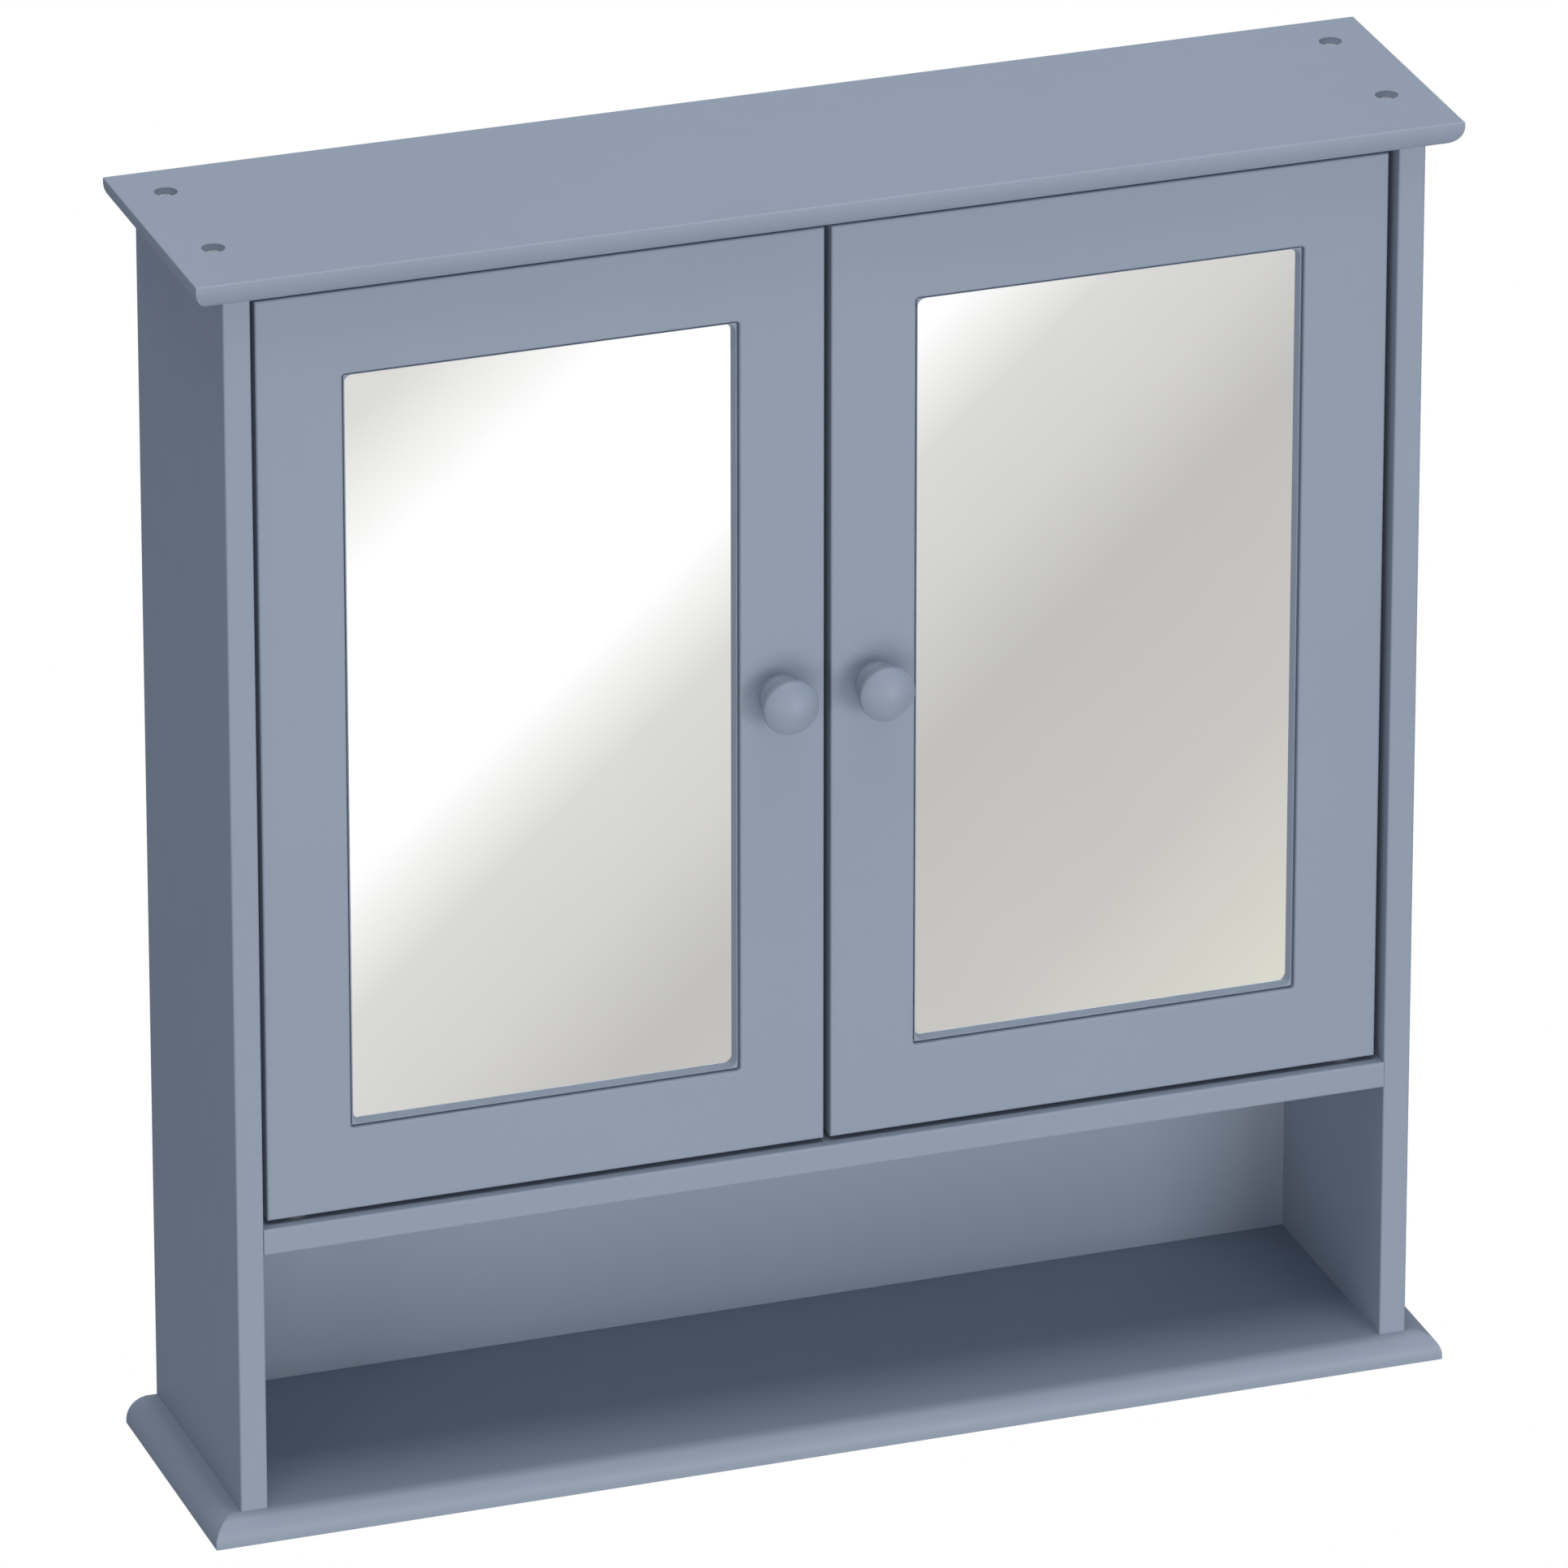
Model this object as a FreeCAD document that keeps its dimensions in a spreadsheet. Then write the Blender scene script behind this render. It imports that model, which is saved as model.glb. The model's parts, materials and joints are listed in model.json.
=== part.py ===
"""Hanging wall cabinet: two mirrored pivot doors above an open shelf.

Frame: +X to the viewer's right, +Y into the wall, +Z up.  The wall plane is Y = 0 and the
origin is halfway between the two wall-screw holes.  Sizes are millimetres.
"""
import FreeCAD, Part
import math
import os
import Sketcher

DRIVING_SIZES = [
    ("width", 560, "overall width, across the top and bottom boards"),
    ("depth", 130, "overall depth of the boards, from the wall"),
    ("height", 580, "overall height"),
    ("board", 12, "thickness of every carcass board"),
    ("side_overhang", 14, "how far the boards stand out past the side panels"),
    ("front_overhang", 9, "how far the boards stand out past the panels' front edges"),
    ("moulding", 10, "radius of the quarter round on the boards' edges"),
    ("arris", 0.6, "small round on sharp board edges"),
    ("ease", 1, "round on the front edges of panels, shelves and doors"),
    ("back_thickness", 3, "back panel thickness"),
    ("back_rebate", 6, "width of the rebate that holds the back panel"),
    ("screw_line", 538, "height of the wall-screw holes above the base"),
    ("wall_hole_radius", 2.5, "wall-screw hole radius"),
    ("wall_hole_spacing", 400, "distance between the wall-screw holes"),
    ("rail_thickness", 15, "hanging rail thickness"),
    ("rail_height", 60, "hanging rail height"),
    ("rail_dowel_offset", 18, "rail dowels above and below the rail's middle"),
    ("dowel_radius", 3, "wooden dowel radius"),
    ("dowel_in_panel", 8, "dowel depth in a side panel"),
    ("dowel_in_rail", 20, "dowel depth in the rail"),
    ("fixed_shelf_height", 131, "underside of the fixed shelf above the base"),
    ("loose_shelf_front", 88, "front edge of the adjustable shelf from the wall"),
    ("loose_shelf_gap", 1, "gap round the adjustable shelf"),
    ("support_height", 354, "height of the pin holes in use above the base"),
    ("support_pitch", 32, "spacing of the rows of pin holes"),
    ("support_radius", 2.5, "shelf support pin radius"),
    ("support_depth", 8, "shelf support pin depth in the panel"),
    ("support_reach", 8, "how far a support pin reaches under the shelf"),
    ("support_collar_radius", 4, "shelf support pin collar radius"),
    ("support_collar_gap", 0.1, "gap between that collar and the adjustable shelf"),
    ("support_back", 25, "rear pin column from the wall"),
    ("support_front", 70, "front pin column from the wall"),
    ("fit", 0.05, "radial clearance of a fitted pin"),
    ("loose_fit", 0.2, "clearance of a part that goes in easily"),
    ("hole_end", 0.5, "room left past the end of a pin, nail or screw"),
    ("overrun", 1, "how far a rebate's cut runs past the wood"),
    ("board_screw_back", 24, "rear board screw from the wall"),
    ("board_screw_front", 90, "front board screw from the wall"),
    ("counterbore_radius", 5, "board screw counterbore radius"),
    ("head_sunk", 1.6, "depth of a board screw's head below the surface"),
    ("screw_head_radius", 4.6, "board screw head radius"),
    ("screw_head", 2.4, "board screw head height"),
    ("screw_radius", 1.8, "board screw shank radius"),
    ("screw_length", 38, "board screw shank length"),
    ("cam_radius", 6, "cam lock radius"),
    ("cam_height", 10, "cam lock height"),
    ("cam_inset", 24, "cam lock centre from the shelf's end"),
    ("cam_back", 30, "rear cam lock from the wall"),
    ("cam_front", 92, "front cam lock from the wall"),
    ("cam_bolt_radius", 3, "cam bolt collar and head radius"),
    ("cam_bolt_neck", 1.75, "cam bolt neck radius"),
    ("cam_bolt_thread", 2.5, "cam bolt thread radius"),
    ("cam_bolt_depth", 8, "cam bolt depth in the panel"),
    ("cam_bolt_tip", 1, "gap between a cam bolt's tip and the cam lock's centre"),
    ("cam_bolt_head", 3, "length of a cam bolt's head"),
    ("cam_bolt_neck_length", 4, "length of a cam bolt's neck"),
    ("cam_slot_depth", 1.6, "depth of the screwdriver slot in a cam lock"),
    ("nail_radius", 0.7, "back panel nail radius"),
    ("nail_length", 15, "back panel nail length"),
    ("door_recess", 4, "door front behind the panels' front edges"),
    ("door_thickness", 15, "door thickness"),
    ("door_side_gap", 3, "gap between a door and its side panel"),
    ("meeting_gap", 3, "gap between the two doors"),
    ("door_low_gap", 2, "gap under the doors"),
    ("door_top_gap", 3, "gap above the doors"),
    ("stile", 40, "width of the door frame all round"),
    ("quirk", 0.9, "width of the groove round the mirror's moulding"),
    ("quirk_corner", 1.5, "outer corner radius of that groove"),
    ("quirk_depth", 3.2, "depth of that groove below the door's front"),
    ("splay", 1.2, "width of the sloping moulding between the groove and the mirror"),
    ("splay_top", 0.3, "flat top of the sloping moulding"),
    ("splay_drop", 1.8, "top of the sloping moulding below the door's front"),
    ("splay_height", 3, "height of the sloping moulding"),
    ("opening_corner", 2.5, "corner radius of the mirror opening"),
    ("lip", 5, "thickness of frame in front of the mirror"),
    ("mirror_rebate", 8, "width of the rebate that holds the mirror"),
    ("mirror_play", 1, "play round the mirror in its rebate"),
    ("mirror_thickness", 3, "mirror thickness"),
    ("backing_thickness", 3, "mirror backing thickness"),
    ("pivot_inset", 14, "pivot axis from the door's outer edge"),
    ("pivot_radius", 2.5, "pivot pin radius"),
    ("pivot_in_door", 15, "pivot pin depth in the door"),
    ("pivot_in_bush", 7.5, "pivot pin depth in its bush"),
    ("bush_radius", 4, "pivot bush radius"),
    ("bush_depth", 9, "pivot bush depth in the board"),
    ("bush_flange_radius", 5.5, "pivot bush flange radius"),
    ("top_flange", 1, "flange thickness of the upper bush"),
    ("low_flange", 1.7, "flange thickness of the lower bush"),
    ("knob_radius", 12.3, "knob rim radius"),
    ("knob_base_radius", 9.3, "knob base radius"),
    ("knob_base", 2.2, "knob base thickness"),
    ("knob_neck_curve", 7, "radius of the hollow round the knob's neck"),
    ("knob_rim_low", 12.6, "lower edge of the knob's rim, from the door"),
    ("knob_rim_high", 15.2, "upper edge of the knob's rim, from the door"),
    ("knob_length", 21, "knob length"),
    ("knob_round", 1.6, "round on the knob's rim"),
    ("knob_rim_slope", 0.8, "how far the rim's lower edge slopes in"),
    ("knob_rim_rise", 0.4, "height of that slope"),
    ("insert_radius", 3.5, "threaded insert radius"),
    ("insert_length", 10, "threaded insert length"),
    ("knob_screw_radius", 2, "knob screw radius"),
    ("knob_screw_reach", 9, "knob screw length inside the knob"),
    ("knob_screw_head", 2.2, "knob screw head height"),
    ("knob_screw_head_radius", 3.8, "knob screw head radius"),
    ("knob_screw_tip", 0.6, "length of the knob screw's tapered tip"),
    ("catch_width", 40, "magnetic catch width between its ears"),
    ("catch_ear", 10, "length of a catch ear"),
    ("catch_ear_thickness", 4, "thickness of a catch ear"),
    ("catch_depth", 16, "magnetic catch depth"),
    ("catch_height", 12, "magnetic catch height"),
    ("catch_gap", 0.2, "gap between a magnet and its strike plate"),
    ("magnet_width", 14, "magnet width"),
    ("magnet_height", 5, "magnet height"),
    ("magnet_depth", 6, "magnet depth"),
    ("magnet_centre", 12, "magnet and strike plate centre from the middle"),
    ("magnet_drop", 7, "magnet centre below the top board"),
    ("magnet_proud", 0.5, "how far a magnet stands out of the catch"),
    ("strike_width", 16, "strike plate width"),
    ("strike_height", 17, "strike plate height"),
    ("strike_thickness", 1, "strike plate thickness"),
    ("strike_top_gap", 1, "strike plate below the door's top edge"),
    ("strike_screw_up", 4, "strike screw above the plate's lower edge"),
    ("small_screw_radius", 1.4, "catch and strike screw radius"),
    ("small_screw_head_radius", 2.6, "catch and strike screw head radius"),
    ("small_screw_head", 1.2, "catch and strike screw head height"),
    ("small_screw_length", 9, "catch and strike screw depth in the wood"),
]

doc = FreeCAD.newDocument("hanging_wall_cabinet")
sizes = doc.addObject("Spreadsheet::Sheet", "sizes")
for row, (alias, value, meaning) in enumerate(DRIVING_SIZES, 1):
    sizes.set(f"A{row}", meaning)
    sizes.set(f"B{row}", str(value))
    sizes.setAlias(f"B{row}", alias)
doc.recompute()

# Proportions and counts.
PANEL_NAIL_SHARES = (0.05, 0.28, 0.5, 0.72, 0.95)  # of the height inside the boards
SHELF_NAIL_SHARES = (-0.6, 0, 0.6)                 # of the half width inside the panels
SUPPORT_ROWS = (-2, -1, 0, 1, 2)                   # rows of pin holes, from the one in use
HEAD_RIM_SHARE = 0.35                              # straight rim of a screw head, of its height
TIP_SHARE = 0.4                                    # blunt end of a screw, of its radius
CROSS_REACH_SHARE = 0.55                           # cross recess, of the head's radius
CROSS_HALF_SHARE = 0.11
CROSS_DEPTH_SHARE = 0.6                            # of the head's height
SLOT_REACH_SHARE = 0.6                             # cam slot, of the cam's radius
SLOT_HALF_SHARE = 0.1

# Limits that tell edges and cuts apart.
TOLERANCE = 1e-4
LONG_EDGE = 100
SMALLEST_CUT = 0.5

# Places that several pieces share, as expressions in the driving sizes.
OUTER = "(sizes.width / 2 - sizes.side_overhang)"
INNER = f"({OUTER} - sizes.board)"
CARCASS_FRONT = "(sizes.depth - sizes.front_overhang)"
BASE = "(0 - sizes.screw_line)"
CARCASS_LOW = f"({BASE} + sizes.board)"
CARCASS_HIGH = f"({BASE} + sizes.height - sizes.board)"
FIXED_SHELF_LOW = f"({BASE} + sizes.fixed_shelf_height)"
FIXED_SHELF_TOP = f"({FIXED_SHELF_LOW} + sizes.board)"
SUPPORT_LINE = f"({BASE} + sizes.support_height)"
DOOR_FRONT = f"({CARCASS_FRONT} - sizes.door_recess)"
DOOR_BACK = f"({DOOR_FRONT} - sizes.door_thickness)"
DOOR_NEAR = "(sizes.meeting_gap / 2)"
DOOR_FAR = f"({INNER} - sizes.door_side_gap)"
DOOR_LOW = f"({FIXED_SHELF_TOP} + sizes.door_low_gap)"
DOOR_HIGH = f"({CARCASS_HIGH} - sizes.door_top_gap)"
DOOR_MIDDLE = f"(({DOOR_LOW} + {DOOR_HIGH}) / 2)"
PIVOT_X = f"({DOOR_FAR} - sizes.pivot_inset)"
PIVOT_BACK = f"({DOOR_FRONT} - sizes.door_thickness / 2)"
KNOB_X = f"({DOOR_NEAR} + sizes.stile / 2)"
MIRROR_FRONT = f"({DOOR_FRONT} - sizes.lip)"
MIRROR_BACK = f"({MIRROR_FRONT} - sizes.mirror_thickness)"
BACKING_BACK = f"({MIRROR_BACK} - sizes.backing_thickness)"
PANEL_MIDDLE = f"({OUTER} - sizes.board / 2)"
RAIL_BACK = "sizes.back_thickness"
STRIKE_HIGH = f"({DOOR_HIGH} - sizes.strike_top_gap)"
STRIKE_LOW = f"({STRIKE_HIGH} - sizes.strike_height)"
CATCH_FRONT = f"({DOOR_BACK} - sizes.strike_thickness - sizes.catch_gap - sizes.magnet_proud)"
MAGNET_FRONT = f"({CATCH_FRONT} + sizes.magnet_proud)"
MAGNET_HIGH = f"({CARCASS_HIGH} - sizes.magnet_drop + sizes.magnet_height / 2)"
PANEL_NAIL_HEIGHTS = [f"({CARCASS_LOW} + {share} * (sizes.height - 2 * sizes.board))"
                      for share in PANEL_NAIL_SHARES]
SHELF_NAIL_PLACES = [f"({share} * {INNER})" for share in SHELF_NAIL_SHARES]
PANEL_NAIL_X = f"({INNER} + sizes.back_rebate / 2)"
SHELF_NAIL_Z = f"({FIXED_SHELF_LOW} + sizes.board / 2)"
SCREW_SETBACKS = ["sizes.board_screw_back", "sizes.board_screw_front"]
CAM_SETBACKS = ["sizes.cam_back", "sizes.cam_front"]
DOWEL_HEIGHTS = ["sizes.rail_dowel_offset", "(0 - sizes.rail_dowel_offset)"]

subparts = []


def number(expression):
    return float(sizes.evalExpression(expression))


def less(expression):
    """The negative of an expression."""
    return f"(0 - {expression})"


def keep(piece, name):
    """Name a finished piece and hand it over as a subpart."""
    piece.Label = name
    subparts.append(piece)
    return piece


def place(piece, x="0", y="0", z="0", rotation=None):
    """Put a piece where three expressions say, after turning it."""
    if rotation:
        piece.Placement = FreeCAD.Placement(FreeCAD.Vector(), FreeCAD.Rotation(*rotation))
    for letter, expression in zip("xyz", (x, y, z)):
        piece.setExpression(f".Placement.Base.{letter}", expression)
    return piece


# Rotations that turn a piece made along +Z.
X_AXIS = FreeCAD.Vector(1, 0, 0)
Y_AXIS = FreeCAD.Vector(0, 1, 0)
TO_FRONT = (X_AXIS, 90)
TO_WALL = (X_AXIS, -90)
TO_RIGHT = (Y_AXIS, 90)
TO_LEFT = (Y_AXIS, -90)
UPSIDE_DOWN = (X_AXIS, 180)


# ---- sketches ----

def body_named(name):
    return doc.addObject("PartDesign::Body", name)


def sketch_in(body, role, offset="0"):
    """A sketch on one of the body's own origin planes, moved along the plane's normal."""
    sketch = body.newObject("Sketcher::SketchObject", "outline")
    plane = next(feature for feature in body.Origin.OriginFeatures if feature.Role == role)
    sketch.AttachmentSupport = [(plane, "")]
    sketch.MapMode = "FlatFace"
    sketch.setExpression(".AttachmentOffset.Base.z", offset)
    return sketch


def hold_point(sketch, geometry, point, across, up):
    """Tie one point of a sketch to two expressions; a zero ties it to the axis."""
    for kind, axis, expression in (("DistanceX", -2, across), ("DistanceY", -1, up)):
        value = number(expression)
        if abs(value) < TOLERANCE:
            sketch.addConstraint(Sketcher.Constraint("PointOnObject", geometry, point, axis))
            continue
        row = sketch.addConstraint(Sketcher.Constraint(kind, -1, 1, geometry, point, value))
        sketch.setExpression(f"Constraints[{row}]", expression)


def hold_radius(sketch, geometry, expression):
    row = sketch.addConstraint(Sketcher.Constraint("Radius", geometry, number(expression)))
    sketch.setExpression(f"Constraints[{row}]", expression)


def arc_between(start, end, radius, side):
    """The short arc from start to end, its centre on the left for side 1, right for -1."""
    along = end - start
    normal = FreeCAD.Vector(-along.y, along.x, 0).normalize() * side
    centre = (start + end) * 0.5 + normal * math.sqrt(radius ** 2 - (along.Length / 2) ** 2)
    first, last = (start, end) if side > 0 else (end, start)
    angles = [math.atan2(point.y - centre.y, point.x - centre.x) for point in (first, last)]
    circle = Part.Circle(centre, FreeCAD.Vector(0, 0, 1), radius)
    return Part.ArcOfCircle(circle, angles[0], angles[1])


def outline(sketch, corners):
    """A closed outline.  A corner is (across, up), or (across, up, radius, side) before an arc."""
    points = [FreeCAD.Vector(number(corner[0]), number(corner[1]), 0) for corner in corners]
    ends = []
    for index, corner in enumerate(corners):
        start = points[index]
        end = points[(index + 1) % len(points)]
        if len(corner) == 2:
            geometry = sketch.addGeometry(Part.LineSegment(start, end))
            ends.append((geometry, 1, 2))
            continue
        arc = arc_between(start, end, number(corner[2]), corner[3])
        geometry = sketch.addGeometry(arc)
        ends.append((geometry, 1, 2) if corner[3] > 0 else (geometry, 2, 1))
    for index, (geometry, start_point, _) in enumerate(ends):
        before, _, before_end = ends[index - 1]
        joint = Sketcher.Constraint("Coincident", before, before_end, geometry, start_point)
        sketch.addConstraint(joint)
    for corner, (geometry, start_point, _) in zip(corners, ends):
        hold_point(sketch, geometry, start_point, corner[0], corner[1])
        if len(corner) > 2:
            hold_radius(sketch, geometry, corner[2])
    return sketch


def rectangle(sketch, left, low, right, high, corner=None):
    """An upright rectangle, its corners rounded to a radius if one is given."""
    if corner is None:
        return outline(sketch, [(left, low), (right, low), (right, high), (left, high)])
    inner_left, inner_right = f"({left} + {corner})", f"({right} - {corner})"
    inner_low, inner_high = f"({low} + {corner})", f"({high} - {corner})"
    return outline(sketch, [
        (inner_left, low), (inner_right, low, corner, 1),
        (right, inner_low), (right, inner_high, corner, 1),
        (inner_right, high), (inner_left, high, corner, 1),
        (left, inner_high), (left, inner_low, corner, 1),
    ])


def circles(sketch, centres, radius):
    for across, up in centres:
        middle = FreeCAD.Vector(number(across), number(up), 0)
        circle = Part.Circle(middle, FreeCAD.Vector(0, 0, 1), number(radius))
        geometry = sketch.addGeometry(circle)
        hold_point(sketch, geometry, 3, across, up)
        hold_radius(sketch, geometry, radius)
    return sketch


# ---- solid features ----

def pad(body, sketch, length, backwards=False):
    feature = body.newObject("PartDesign::Pad", "pad")
    feature.Profile = sketch
    feature.Reversed = backwards
    feature.setExpression("Length", length)
    doc.recompute()
    return feature


def pocket(body, sketch, length, backwards=False):
    """Cut a sketch out of the body, and make sure that something was cut."""
    before = body.Shape.Volume
    feature = body.newObject("PartDesign::Pocket", "pocket")
    feature.Profile = sketch
    feature.Reversed = backwards
    feature.setExpression("Length", length)
    doc.recompute()
    if body.Shape.Volume > before - SMALLEST_CUT:
        raise RuntimeError(f"a pocket in {body.Name} cuts nothing")
    return feature


def drill(body, role, offset, centres, radius, depth, backwards=False):
    """Round blind or through holes, all alike, from one plane."""
    pocket(body, circles(sketch_in(body, role, offset), centres, radius), depth, backwards)


def revolve(body, corners):
    """Turn an outline on the XZ plane about the Z axis."""
    sketch = outline(sketch_in(body, "XZ_Plane"), corners)
    feature = body.newObject("PartDesign::Revolution", "turning")
    feature.Profile = sketch
    feature.ReferenceAxis = (sketch, ["V_Axis"])
    feature.Angle = 360
    doc.recompute()
    return feature


def round_edges(body, radius, wanted):
    """Round every edge of the body's tip that the test picks."""
    tip = body.Tip
    names = [f"Edge{index}" for index, edge in enumerate(tip.Shape.Edges, 1) if wanted(edge)]
    if not names:
        raise RuntimeError(f"no edge of {body.Name} to round")
    feature = body.newObject("PartDesign::Fillet", "fillet")
    feature.Base = (tip, names)
    feature.setExpression("Radius", radius)
    doc.recompute()
    return feature


def splay_edges(body, wanted):
    """Slope a moulding's edges: the splay's width lies across it, its height goes into it."""
    tip = body.Tip
    names = [f"Edge{index}" for index, edge in enumerate(tip.Shape.Edges, 1) if wanted(edge)]
    feature = body.newObject("PartDesign::Chamfer", "splay")
    feature.Base = (tip, names)
    feature.ChamferType = "Two distances"
    feature.FlipDirection = True
    feature.setExpression("Size", "sizes.splay")
    feature.setExpression("Size2", "sizes.splay_height")
    doc.recompute()
    return feature


def near(value, target):
    return abs(value - target) < TOLERANCE


def level(edge, axis, target):
    """True where the whole edge lies at one value of one coordinate."""
    box = edge.BoundBox
    return near(getattr(box, axis + "Min"), target) and near(getattr(box, axis + "Max"), target)


def copies(name, master, spots):
    """One node of identical solids: links to a master, each with a place of its own."""
    links = []
    for spot in spots:
        link = doc.addObject("App::Link", name + "_copy")
        link.LinkedObject = master
        link.LinkTransform = False
        place(link, *spot)
        links.append(link)
    group = doc.addObject("Part::Compound", name)
    group.Links = links
    return keep(group, name)


def mirrored(name, source):
    """The left-hand twin of a right-hand piece."""
    twin = doc.addObject("Part::Mirroring", name)
    twin.Source = source
    twin.Normal = X_AXIS
    return keep(twin, name)


def both_sides(piece, noun):
    """Keep a right-hand piece and add its left-hand twin."""
    keep(piece, "right_" + noun)
    mirrored("left_" + noun, piece)


# ---- boards of the carcass ----

def moulded_board(name, low, inner_is_low):
    """Top or bottom board: a quarter round on the inner edge of the front and both ends."""
    body = body_named(name)
    half = "(sizes.width / 2)"
    pad(body, rectangle(sketch_in(body, "XY_Plane"), less(half), less("sizes.depth"), half, "0"),
        "sizes.board")
    thickness = number("sizes.board")
    reach = number(half)
    front = -number("sizes.depth")
    inner = 0 if inner_is_low else thickness

    def on_rim(edge):
        return level(edge, "Y", front) or level(edge, "X", reach) or level(edge, "X", -reach)

    round_edges(body, "sizes.moulding", lambda edge: level(edge, "Z", inner) and on_rim(edge))
    round_edges(body, "sizes.arris",
                lambda edge: level(edge, "Z", thickness - inner) and on_rim(edge))
    rebate_edge = f"({INNER} + sizes.back_rebate)"
    rebate_top = "sizes.back_rebate" if inner_is_low else "sizes.board"
    rebate = sketch_in(body, "XY_Plane", rebate_top)
    rectangle(rebate, less(rebate_edge), less("sizes.back_thickness"), rebate_edge,
              "sizes.overrun")
    pocket(body, rebate, "sizes.back_rebate")
    holes = [(x, less(setback)) for x in (PANEL_MIDDLE, less(PANEL_MIDDLE))
             for setback in SCREW_SETBACKS]
    outer_face = "sizes.board" if inner_is_low else "0"
    counterbore = "sizes.head_sunk + sizes.screw_head"
    drill(body, "XY_Plane", outer_face, holes, "sizes.counterbore_radius", counterbore,
          not inner_is_low)
    drill(body, "XY_Plane", "sizes.board", holes, "sizes.screw_radius + sizes.fit", "sizes.board")
    place(body, z=low)
    return keep(body, name)


# ---- places of the small holes ----

def mirrored_places(x, y):
    return [(x, y), (less(x), y)]


PIVOT_PLACES = mirrored_places(PIVOT_X, less(PIVOT_BACK))
CATCH_SCREW_X = "(sizes.catch_width / 2 + sizes.catch_ear / 2)"
CATCH_MIDDLE = f"({CATCH_FRONT} - sizes.catch_depth / 2)"
CATCH_SCREW_PLACES = mirrored_places(CATCH_SCREW_X, less(CATCH_MIDDLE))
BOARD_SCREW_PLACES = [spot for setback in SCREW_SETBACKS
                      for spot in mirrored_places(PANEL_MIDDLE, less(setback))]
CAM_PLACES = [spot for setback in CAM_SETBACKS
              for spot in mirrored_places(f"({INNER} - sizes.cam_inset)", less(setback))]
WALL_HOLES = mirrored_places("(sizes.wall_hole_spacing / 2)", "0")
PANEL_NAILS = [spot for height in PANEL_NAIL_HEIGHTS
               for spot in mirrored_places(PANEL_NAIL_X, height)]
SHELF_NAILS = [(x, SHELF_NAIL_Z) for x in SHELF_NAIL_PLACES]
NAIL_HOLE = "(sizes.nail_length + sizes.hole_end)"
NAIL_HOLE_RADIUS = "(sizes.nail_radius + sizes.fit)"
SMALL_SCREW_HOLE_RADIUS = "(sizes.small_screw_radius + sizes.fit)"
SMALL_SCREW_HOLE = "(sizes.small_screw_length + sizes.hole_end)"
BUSH_HOLE_RADIUS = "(sizes.bush_radius + sizes.fit)"


def top_board():
    """The upper bushes and the magnetic catch are let into its underside."""
    body = moulded_board("top_board", CARCASS_HIGH, True)
    drill(body, "XY_Plane", "0", PIVOT_PLACES, BUSH_HOLE_RADIUS, "sizes.bush_depth", True)
    drill(body, "XY_Plane", "0", CATCH_SCREW_PLACES, SMALL_SCREW_HOLE_RADIUS,
          SMALL_SCREW_HOLE, True)


def side_panel():
    """Right side panel, with its rebate, pilot holes, pin holes, bolt and dowel holes."""
    body = body_named("right_side_panel")
    run = f"({CARCASS_HIGH} - {CARCASS_LOW})"
    sketch = sketch_in(body, "XY_Plane", CARCASS_LOW)
    pad(body, rectangle(sketch, INNER, less(CARCASS_FRONT), OUTER, "0"), run)
    front = -number(CARCASS_FRONT)
    round_edges(body, "sizes.ease", lambda edge: level(edge, "Y", front)
                and edge.BoundBox.ZLength > LONG_EDGE)
    rebate = sketch_in(body, "XY_Plane", CARCASS_HIGH)
    rectangle(rebate, f"({INNER} - sizes.overrun)", less("sizes.back_thickness"),
              f"({INNER} + sizes.back_rebate)", "sizes.overrun")
    pocket(body, rebate, run)
    ends = [(PANEL_MIDDLE, less(setback)) for setback in SCREW_SETBACKS]
    pilot = ("(sizes.screw_length - sizes.board + sizes.head_sunk + sizes.screw_head"
             " + sizes.hole_end)")
    for face, upwards in ((CARCASS_HIGH, False), (CARCASS_LOW, True)):
        drill(body, "XY_Plane", face, ends, "sizes.screw_radius + sizes.fit", pilot, upwards)
    rows = [f"({SUPPORT_LINE} + {step} * sizes.support_pitch)" for step in SUPPORT_ROWS]
    pins = [(less(column), row) for column in ("sizes.support_back", "sizes.support_front")
            for row in rows]
    drill(body, "YZ_Plane", INNER, pins, "sizes.support_radius + sizes.fit",
          "sizes.support_depth + sizes.hole_end", True)
    bolts = [(less(setback), SHELF_NAIL_Z) for setback in CAM_SETBACKS]
    drill(body, "YZ_Plane", INNER, bolts, "sizes.cam_bolt_thread + sizes.fit",
          "sizes.cam_bolt_depth + sizes.hole_end", True)
    dowels = [(less(f"({RAIL_BACK} + sizes.rail_thickness / 2)"), height)
              for height in DOWEL_HEIGHTS]
    drill(body, "YZ_Plane", INNER, dowels, "sizes.dowel_radius + sizes.fit",
          "sizes.dowel_in_panel + sizes.hole_end", True)
    nails = [(PANEL_NAIL_X, height) for height in PANEL_NAIL_HEIGHTS]
    drill(body, "XZ_Plane", "0", nails, "sizes.nail_radius + sizes.fit",
          NAIL_HOLE, True)
    both_sides(body, "side_panel")


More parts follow.
